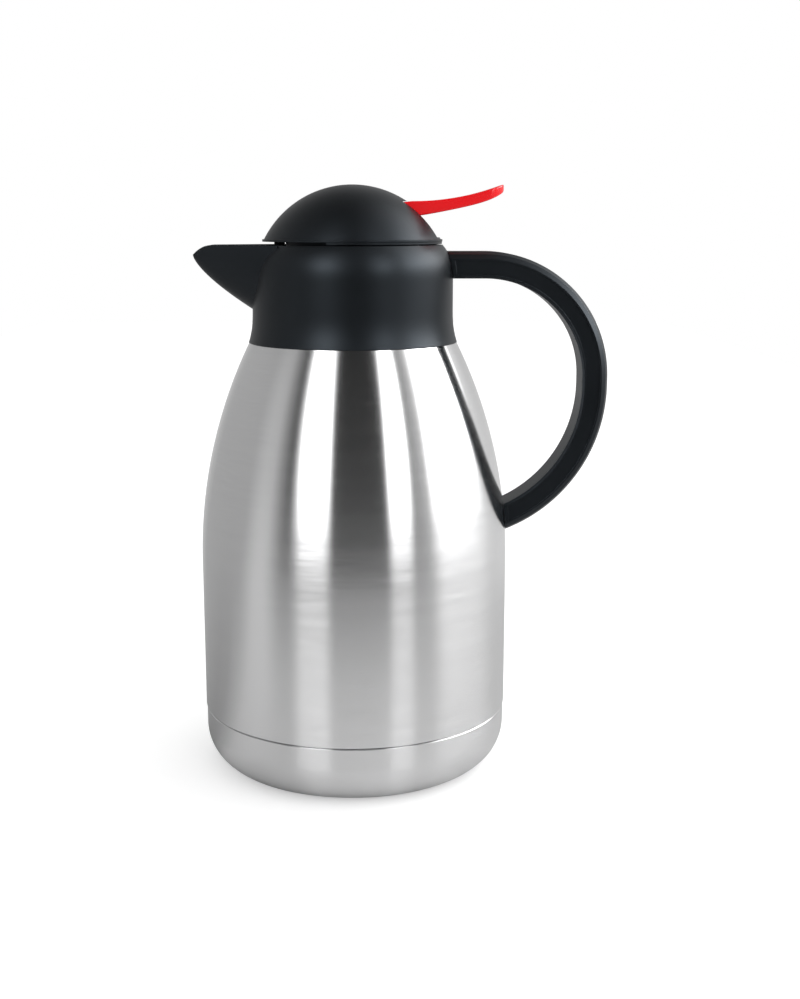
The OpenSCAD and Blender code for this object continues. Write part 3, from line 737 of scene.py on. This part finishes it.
# %% Collar
deck_t = 2.5
throat_t = 3
sleeve_t = 2.5
sleeve_r = neck_r + seat_fit
sleeve_lift = 0.5
sleeve_z = neck_base_z + sleeve_lift
wall_r = throat_r + throat_t
clamp_top_z = clamp_z + sleeve_t
lug_root = 8
overlap = 0.01
over_z, under_z = rim_z + 2 * past, shoulder_z - past
top_void = [(0, clamp_z - overlap), (throat_r, clamp_z - overlap), (throat_r, deck_z)]
top_void += collar_side(deck_z, rim_z, collar_t, steps=24)
top_void += [(rim_r - collar_t, over_z), (0, over_z)]
foot_void = [(0, under_z), (collar_foot_r - collar_t, under_z)]
foot_void += collar_side(shoulder_z, deck_z - deck_t, collar_t, steps=30)
foot_void += [(wall_r, deck_z - deck_t), (wall_r, clamp_top_z),
              (sleeve_r + sleeve_t, clamp_top_z), (sleeve_r + sleeve_t, sleeve_z),
              (sleeve_r, sleeve_z), (sleeve_r, clamp_z), (0, clamp_z)]
lug = block("lug_form", shoulder_r - collar_t - lug_root, lug_end_x, lug_half_w,
            lug_z, lug_z + lug_h)
collar = collar_form("collar_moulding")
combined(collar, spout, "UNION")
combined(collar, lug, "UNION")
cut(collar, turned("top_void", top_void, black, HIDDEN),
    turned("foot_void", foot_void, black, HIDDEN), channel,
    rod("lug_hole", upper_screw, up, screw_r, lug_z + lug_h - upper_screw[2] + 3 * past))
closed(collar, smooth_angle=28)
print("collar faces:", len(collar.data.polygons))

# %% [markdown]
# ## The handle
# The handle is a hollow moulding with a bevelled back and a sunk panel along each side. It
# is a sweep: one section carried along a line of two bends. A curve with a bevel object
# could do it, but placed sections keep the wall's thickness true in the bends. Both ends
# are cut to the bottle's own form, grown by a fit of 0.2 mm, so they meet it all along.

# %% Handle path
bend_upper = 58.0
bend_lower = 73.2
grip_h = 3.8
upper_x = handle_x - bend_upper
lower_x = handle_x - bend_lower
bend_z = handle_top_z - bend_upper
grip_z = bend_z - grip_h
skin_angle = math.acos((body_r - lower_x) / (bend_lower - handle_h / 2))
overrun = 12
end_angle = skin_angle + math.radians(overrun)


def handle_stations():
    """Inner edge and outward direction at each station, from the collar to the body."""
    found = [((x, handle_top_z - handle_h), (0, 1))
             for x in np.linspace(rim_r - 3 * past, upper_x, 12)[:-1]]
    for centre, radius, start, end, steps in (
            ((upper_x, bend_z), bend_upper, math.pi / 2, 0, 60),
            ((lower_x, grip_z), bend_lower, 0, -end_angle, 56)):
        for a in np.linspace(start, end, steps):
            out = (math.cos(a), math.sin(a))
            reach = radius - handle_h
            found.append(((centre[0] + reach * out[0], centre[1] + reach * out[1]), out))
    return found


def swept(name, section, finish=None):
    """A section of (outwards, sideways) points carried along the handle."""
    rings = [[(p[0] + s * out[0], y, p[1] + s * out[1]) for s, y in section]
             for p, out in handle_stations()]
    return lofted(name, rings, finish)


print("handle stations:", len(handle_stations()))


# %% Jug form for trimming
def jug_form(name, grow):
    """Bottle and collar as one full form, grown outwards by a fit."""
    side = [(r + grow, z) for r, z in taper(shoulder_z, steps=40)]
    side += [(r + grow, z) for r, z in collar_side(shoulder_z, rim_z, steps=48)]
    return turned(name, [(0, seam_z), (body_r + grow, seam_z)] + side + [(0, rim_z)], black)


# %% Handle
half = handle_half_w
chamfer = 1
bevel_low, bevel_mid, bevel_mid_in, bevel_in = 3.3, 1.3, 1.5, 4.2
web_root, web_over, web_bite = 10, 1.5, 0.5
boss_t, boss_wall = 2.4, 2
head_sink = 2.4
screw_back = 6.5
screw_angle = skin_angle - math.radians(screw_back)
screw_way = (math.cos(screw_angle), 0, -math.sin(screw_angle))


def at_lower_bend(radius):
    """Point on the lower screw's line at that radius of the lower bend."""
    return lower_x + radius * screw_way[0], 0, grip_z + radius * screw_way[2]


one_side = [(0, half - chamfer), (chamfer, half), (handle_h - bevel_low, half),
            (handle_h - bevel_mid, half - bevel_mid_in), (handle_h, half - bevel_in)]
section = one_side + [(s, -y) for s, y in one_side[::-1]]
handle = swept("handle_moulding", section, black)
pocket = oblong(-past, handle_h - handle_t, -pocket_half_w, pocket_half_w)
cut(handle, swept("pocket_form", pocket))
web = block("web_form", waist_r - web_root, lug_end_x + web_over, pocket_half_w + web_bite,
            web_z, web_z + web_t)
boss_r = bend_lower - handle_t - boss_t
combined(handle, web, "UNION")
combined(handle, rod("boss", at_lower_bend(boss_r), screw_way, head_r + boss_wall,
                     boss_t + handle_t / 2), "UNION")
cut(handle, jug_form("jug_trim", fit),
    rod("web_hole", upper_screw, up, screw_r + fit, web_z + web_t - upper_screw[2] + past),
    rod("boss_hole", at_lower_bend(boss_r - past), screw_way, screw_r + fit,
        boss_t + handle_t),
    rod("head_hole", at_lower_bend(bend_lower - head_sink), screw_way, head_r + fit, 6 * past))

# %% Sunk side panels
panel_depth = 0.4
panel_low, panel_high = 1.6, 8.2
panel_clear = 2.2
for side in (-1, 1):
    y0, y1 = side * (half - panel_depth), side * (half + past)
    panel = swept("panel_form", oblong(panel_low, panel_high, y0, y1))
    cut(panel, jug_form("panel_trim", panel_clear))
    cut(handle, panel)
closed(handle, smooth_angle=24)
print("handle faces:", len(handle.data.polygons))

# %% Inner strip
insert_t = 2.2
head_fit = 0.3
strip_half_w = pocket_half_w - fit
strip = swept("handle_strip", oblong(0, insert_t, -strip_half_w, strip_half_w), black)
cut(strip, jug_form("strip_trim", fit),
    rod("head_way", upper_screw, up, head_r + head_fit, 5 * past))
closed(strip, smooth_angle=24)
print("strip faces:", len(strip.data.polygons))

# %% [markdown]
# ## The domed lid
# The dome is a spherical cap with a thin lip at its foot. Its skirt is left open over the
# spout, where the jug pours, and a slot at the back lets the lever out. It could be part of
# a UV sphere, but turned first and then cut twice it keeps an even wall. It is a little
# fuller than the CAD solid, by 0.9 mm at the foot and 0.15 mm at the crown.

# %% Dome
rim_step = 1.3
lid_r = rim_r - rim_step
lid_gap = 1.5
dome_t = 2.2
dome_z = rim_z + lid_gap
dome_h = dome_top_z - dome_z
dome_swell = 0.9
crown_rise = 0.15
dome_foot_r = lid_r + dome_swell
skin_h = dome_h + crown_rise
dome_r = (dome_foot_r ** 2 + skin_h ** 2) / (2 * skin_h)
dome_centre = dome_top_z + crown_rise - dome_r
plate_t = 2.0
plate_top_z = dome_z + plate_t
wall_in_r = math.sqrt((dome_r - dome_t) ** 2 - (plate_top_z - dome_centre) ** 2)
skirt_out, skirt_clear = 0.1, 0.45
skirt_r = dome_foot_r + skirt_out
skirt_z = rim_z + skirt_clear
corner_lift = 0.4
lip = 0.3
lip_h = 1.0


def dome_arc(r, z_low, steps):
    """Arc of the dome's sphere from the top down to a height."""
    end = math.acos((z_low - dome_centre) / r)
    return line_of(lambda a: (r * math.sin(a), dome_centre + r * math.cos(a)), 0, end, steps)


outline = dome_arc(dome_r, dome_z + lip_h, steps=56)
outline += [(dome_foot_r + lip, dome_z + lip_h), (dome_foot_r + lip, dome_z),
            (skirt_r, dome_z), (skirt_r, skirt_z), (wall_in_r, skirt_z),
            (wall_in_r, plate_top_z)]
outline += dome_arc(dome_r - dome_t, plate_top_z + corner_lift, steps=40)[::-1]
dome = turned("domed_lid", outline, black)
print("dome faces:", len(dome.data.polygons))

# %% Slot and pouring gap
lever_arm = 22.0
pin_rise = 6.4
pin_z = plate_top_z + pin_rise
lever_back_rise = 9.6
slot_start_x = 15.0
slot_side, slot_top, slot_low = 0.6, 0.12, 1.8
slot = block("slot_form", slot_start_x, dome_r + 5 * past, lever_half_w + slot_side,
             dome_z + slot_low, pin_z + lever_back_rise + slot_top)
pour_angle = math.radians(74)
far = 2 * lid_r
far_x, far_y = far * math.cos(pour_angle), far * math.sin(pour_angle)
wedge = [(0, 0), (-far_x, -far_y), (-far, -far), (-far, far), (-far_x, far_y)]
gap_form = lofted("gap_form", [[(x, y, z) for x, y in wedge]
                               for z in (rim_z - past, dome_z)])
cut(dome, slot, gap_form)
closed(dome, smooth_angle=28)
print("dome faces after cutting:", len(dome.data.polygons))

# %% [markdown]
# ## The lever
# The lever is a plate that starts round its pin inside the dome, leaves through the slot and
# sweeps up to a thin tip. Its sections are rectangles with rounded corners, and a loft
# through many of them gives soft edges without a bevel step.

# %% Lever outline from the side
hub_r = 4.2
nose_r = 4.0
nose_turn = 4.5
nose_z = pin_z + lever_arm * math.sin(math.radians(nose_turn))
nose_web, hub_web = 1.2, 1
exit_x = 27.0
exit_top = pin_z + lever_back_rise
exit_t = 6.9
tip_t = 3.4
top_sag, low_sag = 1.95, 1.5
belly = 1.0
# The belly swells as u ** 4 * (1 - u), which is largest at u = 0.8.
belly_peak = 0.8 ** 4 * 0.2


def sagging(x, x0, z0, x1, z1, sag):
    """Height at x on a line from (x0, z0) to (x1, z1) that sags in its middle."""
    u = (x - x0) / (x1 - x0)
    return z0 + (z1 - z0) * u - (4 * sag * u * (1 - u) if 0 < u < 1 else 0)


def round_half(x, centre, r):
    """Half the thickness of a round boss at x, or nothing beside it."""
    return math.sqrt(max(r * r - (x - centre) ** 2, 0.0))


def lever_top(x):
    """Height of the lever's upper side."""
    if x > exit_x:
        return sagging(x, exit_x, exit_top, lever_tip_x, lever_top_z, top_sag)
    if x < -lever_arm:
        return pin_z + round_half(x, -lever_arm, hub_r)
    return sagging(x, -lever_arm, pin_z + hub_r, exit_x, exit_top, 0)


def lever_low(x):
    """Height of the lever's lower side, with the nose that presses the stem."""
    nose = nose_z - round_half(x, 0, nose_r)
    if x > exit_x:
        u = (x - exit_x) / (lever_tip_x - exit_x)
        fuller = belly * u ** 4 * (1 - u) / belly_peak
        return sagging(x, exit_x, exit_top - exit_t, lever_tip_x, lever_top_z - tip_t,
                       low_sag) - fuller
    if x < -lever_arm:
        return pin_z - round_half(x, -lever_arm, hub_r)
    web_low = nose_z - nose_r + nose_web
    if x < nose_r:
        plain = sagging(x, -lever_arm, pin_z - hub_r + hub_web, nose_r, web_low, 0)
    else:
        plain = sagging(x, nose_r, web_low, exit_x, exit_top - exit_t, 0)
    return min(plain, nose) if abs(x) < nose_r else plain


# %% Lever
tip_corner = 7.5
corner_x = lever_tip_x - tip_corner
edge_r = 0.9
edge_share = 0.45
end_gap = 0.15
tip_from, tip_to = 0.1, math.asin(0.985)
pin_bore_r = 1.83


def lever_ring(x, points=8):
    """A rounded rectangle across the lever at x."""
    plan = tip_corner - math.sqrt(max(tip_corner ** 2 - max(x - corner_x, 0) ** 2, 0))
    blunt = max(x - (lever_tip_x - edge_r), 0)
    trim = edge_r - math.sqrt(max(edge_r ** 2 - blunt ** 2, 0))
    w = lever_half_w - plan
    top, bottom = lever_top(x) - trim, lever_low(x) + trim
    r = min(edge_r, edge_share * (top - bottom))
    ring = []
    for cy, cz, start in ((w - r, top - r, 0), (r - w, top - r, 1), (r - w, bottom + r, 2),
                          (w - r, bottom + r, 3)):
        for k in range(points):
            a = (start + k / (points - 1)) * math.pi / 2
            ring.append((x, cy + r * math.cos(a), cz + r * math.sin(a)))
    return ring


back = -lever_arm - hub_r
xs = [back + end_gap + d for d in crowded(hub_r - end_gap, steps=10)]
xs += list(np.linspace(-lever_arm + 1, corner_x, 76))
xs += [corner_x + tip_corner * math.sin(a) for a in np.linspace(tip_from, tip_to, 14)]
lever = lofted("thumb_lever", [lever_ring(x) for x in xs], red)
pin_start = (-lever_arm, -lever_half_w - past, pin_z)
cut(lever, rod("pin_bore", pin_start, (0, 1, 0), pin_bore_r, 2 * lever_half_w + 2 * past))
closed(lever, smooth_angle=40)
print("lever faces:", len(lever.data.polygons), "tip at", round(xs[-1], 1))

# %% [markdown]
# ## The valve spring
# A small compression spring under the push cap lifts the valve shut. It is wire wound on a
# rod, with its end coils laid flat so that it stands square. Geometry Nodes suit it well:
# a flat spiral, lifted along its own length, swept with a round wire.

# %% Tree that winds a spring
def winding_tree():
    """Wire swept along a coil that climbs between two flat end coils."""
    tree, given, result = new_group(
        "GeometryNodeTree", "wound spring",
        [("Coils", "Float"), ("Coil Radius", "Float"), ("Wire Radius", "Float"),
         ("Climb", "Float"), ("Base", "Float"), ("Finish", "Material")],
        [("Spring", "Geometry")])
    coils, radius = given.outputs["Coils"], given.outputs["Coil Radius"]
    coil = add(tree, "GeometryNodeCurveSpiral", {
        "Resolution": 40, "Height": 0.0, "Rotations": coils, "Start Radius": radius,
        "End Radius": radius})
    flat = math_node(tree, "DIVIDE", flat_coils, coils)
    climb = add(tree, "ShaderNodeMapRange", {
        "Value": tree.nodes.new("GeometryNodeSplineParameter").outputs["Factor"],
        "From Min": flat, "From Max": math_node(tree, "SUBTRACT", 1.0, flat),
        "To Max": given.outputs["Climb"]})
    height = math_node(tree, "ADD", climb.outputs["Result"], given.outputs["Base"])
    offset = add(tree, "ShaderNodeCombineXYZ", {"Z": height})
    lift = add(tree, "GeometryNodeSetPosition",
               {"Geometry": coil.outputs["Curve"], "Offset": offset.outputs[0]})
    wire = add(tree, "GeometryNodeCurvePrimitiveCircle",
               {"Resolution": 14, "Radius": given.outputs["Wire Radius"]})
    sweep = add(tree, "GeometryNodeCurveToMesh", {
        "Curve": lift.outputs["Geometry"], "Profile Curve": wire.outputs["Curve"],
        "Fill Caps": True})
    painted_end(tree, sweep.outputs[0], given, result)
    return tree


# %% Spring
flat_coils = 0.75
coil_count = 6
wire_r = 0.5
spring_low, spring_high = low("valve_spring").z, high("valve_spring").z
coil_r = high("valve_spring").x - wire_r
WINDING = winding_tree()
spring = new_object("return_spring", bpy.data.meshes.new("return_spring"))
from_tree(spring, WINDING, {
    "Coils": float(coil_count), "Coil Radius": coil_r * MM, "Wire Radius": wire_r * MM,
    "Finish": bright, "Climb": (spring_high - spring_low - 2 * wire_r) * MM,
    "Base": (spring_low + wire_r) * MM})
closed(spring, smooth_angle=60)
print("spring faces:", len(spring.data.polygons), "height", round(spring_high - spring_low, 2))

# %% [markdown]
# ## What rides on what
# The CAD model names five bodies that move. Each new piece rides on the body of the node it
# stands for, and takes that node's place in the picture.

# %% Ride and replace
made = [(skin, "bottle", "outer_shell", "brushed_skin"),
        (cap, "bottle", "base_cap", "brushed_skin"),
        (liner, "bottle", "inner_liner", "liner_steel"),
        (collar, "bottle", "collar", "black_plastic"),
        (handle, "bottle", "handle_shell", "black_plastic"),
        (strip, "bottle", "handle_insert", "black_plastic"),
        (dome, "lid", "lid_dome", "black_plastic"),
        (spring, "lid", "valve_spring", "screw_steel"),
        (lever, "lever", "lever", "red_plastic")]
for piece, body, node, slot_name in made:
    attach(piece, body)
    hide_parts(node)
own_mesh(spring)

# %% Finishes of the CAD nodes that stay
kept = [(drawn, "vacuum_plate getter handle_bracket"),
        (silicone, "collar_gasket stopper_gasket valve_seal"),
        (bright, "upper_handle_screw lower_handle_screw lever_pin"),
        (gap_shade_steel, "lid_screws"), (black, "stopper_body valve_disc"),
        (acetal, "valve_stem stem_cap")]
for finish, names in kept:
    for name in names.split():
        slots = nodes[name].material_slots
        if not slots:
            nodes[name].data.materials.append(finish)
        for held in slots:
            held.material = finish
print("finishes on CAD nodes:", [finish.name for finish, names in kept])

# %% [markdown]
# ## The studio
# Steel shows the room more than itself, so the room is designed like a part. Two upright
# soft lamps stand either side of the viewer with a dark gap between them, a bright window
# fills the right and a grey wall the left. Levels are given in degrees from the viewer,
# one row for above the horizon and one for below, and fade towards the ceiling. The glow
# is the hot part of the lamps and the window, brightest 13 to 22 degrees up. Area lamps
# could do this, but a world shader that reads only its own direction stays smooth and
# still when the camera moves.

# %% Levels round the room
HIGH_LEVELS = [
    (-180, 0.42), (-158, 0.45), (-140, 0.43), (-88, 0.42), (-74, 0.52), (-66, 0.50),
    (-52.5, 0.12), (-48.5, 0.12), (-44.5, 1.0), (-19, 1.0), (-15.5, 0.04), (23, 0.04),
    (27.5, 1.0), (43.5, 1.0), (46.5, 0.34), (51, 0.40), (58, 0.60), (66, 1.0), (110, 1.1),
    (130, 0.8), (145, 0.6), (180, 0.42)]
LOW_LEVELS = [
    (-180, 0.60), (-158, 0.55), (-140, 0.42), (-88, 0.40), (-74, 0.64), (-66, 0.62),
    (-54, 0.22), (-45, 0.20), (-21, 0.20), (-17, 0.10), (25, 0.10), (30, 0.24),
    (43, 0.26), (48, 0.34), (54, 0.38), (66, 0.58), (85, 0.66), (110, 0.70), (130, 0.72),
    (145, 0.70), (180, 0.60)]
GLOW_LEVELS = [(-180, 0), (-44, 0), (-40, 0.9), (-23, 0.9), (-17.5, 0), (25, 0), (29, 0.9),
               (41, 0.9), (44, 0), (58, 0), (70, 1.15), (104, 1.15), (128, 0), (180, 0)]
GLOW_HEIGHTS = [(-90, 0), (5, 0), (13, 6.0), (22, 6.0), (32, 4.2), (44, 2.4), (56, 0.9),
                (70, 0.3), (80, 0), (90, 0)]
UP_THE_ROOM = [(-90, 0.03), (-36, 0.05), (-22, 0.60), (-12, 1.0), (30, 1.0), (44, 0.7),
               (57, 0.45), (70, 0.30), (84, 0.08), (90, 0.05)]
# Painted light and shade on the table as reflections show it: lightest towards the viewer,
# darkest to the left.
TABLE_PAINTED_LIGHT = [
    (-180, 0.5), (-130, 0.38), (-108, 0.34), (-96, 0.36), (-84, 0.50), (-75, 0.64),
    (-62, 0.66), (-50, 0.62), (-25, 0.62), (-16, 0.70), (18, 0.72), (27, 0.64), (40, 0.64),
    (50, 0.58), (56, 0.54), (72, 0.56), (150, 0.56), (180, 0.5)]


def profile(tree, value, stops):
    """A level read from (degrees, level) stops with straight lines between them."""
    first, last = stops[0][0], stops[-1][0]
    top = max(level for _, level in stops)
    ramp = tree.nodes.new("ShaderNodeValToRGB")
    elements = ramp.color_ramp.elements
    while len(elements) < len(stops):
        elements.new(0.5)
    for element, (degrees, level) in zip(elements, stops):
        element.position = (degrees - first) / (last - first)
        element.color = (level / top, level / top, level / top, 1)
    tree.links.new(mapped(tree, value, first, last, 0, 1), ramp.inputs[0])
    return times(tree, ramp.outputs["Color"], top)


def bearing(tree, x, y):
    """Angle round the axis from the viewer's side, in radians."""
    return math_node(tree, "ARCTAN2", x, times(tree, y, -1.0))


# %% Room
DEGREES = 180 / math.pi
row_low, row_high = -10, 14
narrow_low, narrow_high, narrowing = 10, 50, 1.16
soft_left, soft_right = 0.25, 1.75


def room():
    """Light by direction for reflections, soft for matt surfaces, white to the camera."""
    world = bpy.data.worlds.new("studio")
    bpy.context.scene.world = world
    world.use_nodes = True
    tree = world.node_tree
    way = tree.nodes.new("ShaderNodeTexCoord").outputs["Generated"]
    x, y, z = add(tree, "ShaderNodeSeparateXYZ", {0: way}).outputs
    height = times(tree, math_node(tree, "ARCSINE", z), DEGREES)
    scale = mapped(tree, height, narrow_low, narrow_high, DEGREES, DEGREES / narrowing)
    azimuth = times(tree, bearing(tree, x, y), scale)
    rise = mapped(tree, height, row_low, row_high, 0, 1, smooth=True)
    level = mixed(tree, rise, profile(tree, azimuth, LOW_LEVELS),
                  profile(tree, azimuth, HIGH_LEVELS))
    level = times(tree, level, profile(tree, height, UP_THE_ROOM))
    glow = times(tree, profile(tree, azimuth, GLOW_LEVELS),
                 profile(tree, height, GLOW_HEIGHTS))
    level = math_node(tree, "ADD", level, glow)
    rays = tree.nodes.new("ShaderNodeLightPath")
    soft = mapped(tree, x, -1, 1, soft_left, soft_right)
    level = mixed(tree, rays.outputs["Is Diffuse Ray"], level, soft)
    level = mixed(tree, rays.outputs["Is Camera Ray"], level, 1.0)
    feed(tree, tree.nodes["Background"], {"Color": (1, 1, 1, 1), "Strength": level})
    world.cycles.sampling_method = "NONE"


room()
print("world:", bpy.context.scene.world.name, "stops:", len(HIGH_LEVELS), len(LOW_LEVELS))

# %% [markdown]
# ## The table
# The table is small. It ends between the jug and the viewer, so the steel shows it only
# near its foot, and dark room above that. In reflections its colour is painted light and
# shade by direction, lightest towards the viewer and darkest to the left, and with
# distance it goes over to the room's lower row of light levels, so its edge isn't seen.
# To the camera it glows just enough to melt into the white background, and what is left
# of its own light still holds the jug's shadow.

# %% Table
table_x, table_front, table_back, table_z = 0.8, -0.42, 3.0, -0.1 * MM
edge_from, edge_to = 0.3, 0.44
matt_tone, camera_glow = 0.75, 0.45


def table_tone_and_painted_light(tree, rays):
    """For reflections painted light and shade by direction and distance, and the table's plain
    tone otherwise.
    """
    place = tree.nodes.new("ShaderNodeTexCoord").outputs["Object"]
    x, y, _ = add(tree, "ShaderNodeSeparateXYZ", {0: place}).outputs
    azimuth = times(tree, bearing(tree, x, y), DEGREES)
    squares = math_node(tree, "ADD", times(tree, x, x), times(tree, y, y))
    distance = math_node(tree, "SQRT", squares)
    far_off = mapped(tree, distance, edge_from, edge_to, 0, 1, smooth=True)
    # Painted light: near the jug the table's painted shade by direction, farther off the
    # room's lower row of light levels.
    seen = mixed(tree, far_off, profile(tree, azimuth, TABLE_PAINTED_LIGHT),
                 profile(tree, azimuth, LOW_LEVELS))
    return mixed(tree, rays.outputs["Is Glossy Ray"], matt_tone, seen)


table_mesh = bpy.data.meshes.new("table")
corners = oblong(-table_x, table_x, table_front, table_back)
table_mesh.from_pydata([(x, y, table_z) for x, y in corners], [], [(0, 1, 2, 3)])
table = new_object("table", table_mesh)
paper, paper_tree, paper_bsdf = shader("pale table")
rays = paper_tree.nodes.new("ShaderNodeLightPath")
feed(paper_tree, paper_bsdf, {
    "Base Color": table_tone_and_painted_light(paper_tree, rays), "Roughness": 0.9, "Specular IOR Level": 0.0,
    "Emission Color": (1, 1, 1, 1),
    "Emission Strength": mixed(paper_tree, rays.outputs["Is Camera Ray"], 0.0, camera_glow)})
table_mesh.materials.append(paper)
print("table front edge at", table_front, "m")

# %% [markdown]
# ## The camera
# A product shot from a little above the lid, turned slightly to the left. The lens and the
# tilt were worked out from the jug's own outline, so the view has the same proportions.

# %% Camera
lens = bpy.data.cameras.new("camera")
camera = new_object("camera", lens)
camera.location = (0, -0.650, 0.25668)
lens.sensor_width = 36.0
lens.lens = 50.1
look_down, look_left = 11.283, 1.925
camera.rotation_euler = (math.radians(90 - look_down), 0, math.radians(-look_left))
lens.clip_start = 0.01
bpy.context.scene.camera = camera
bpy.context.scene.view_settings.view_transform = "Standard"
print("camera at", [round(v, 3) for v in camera.location])
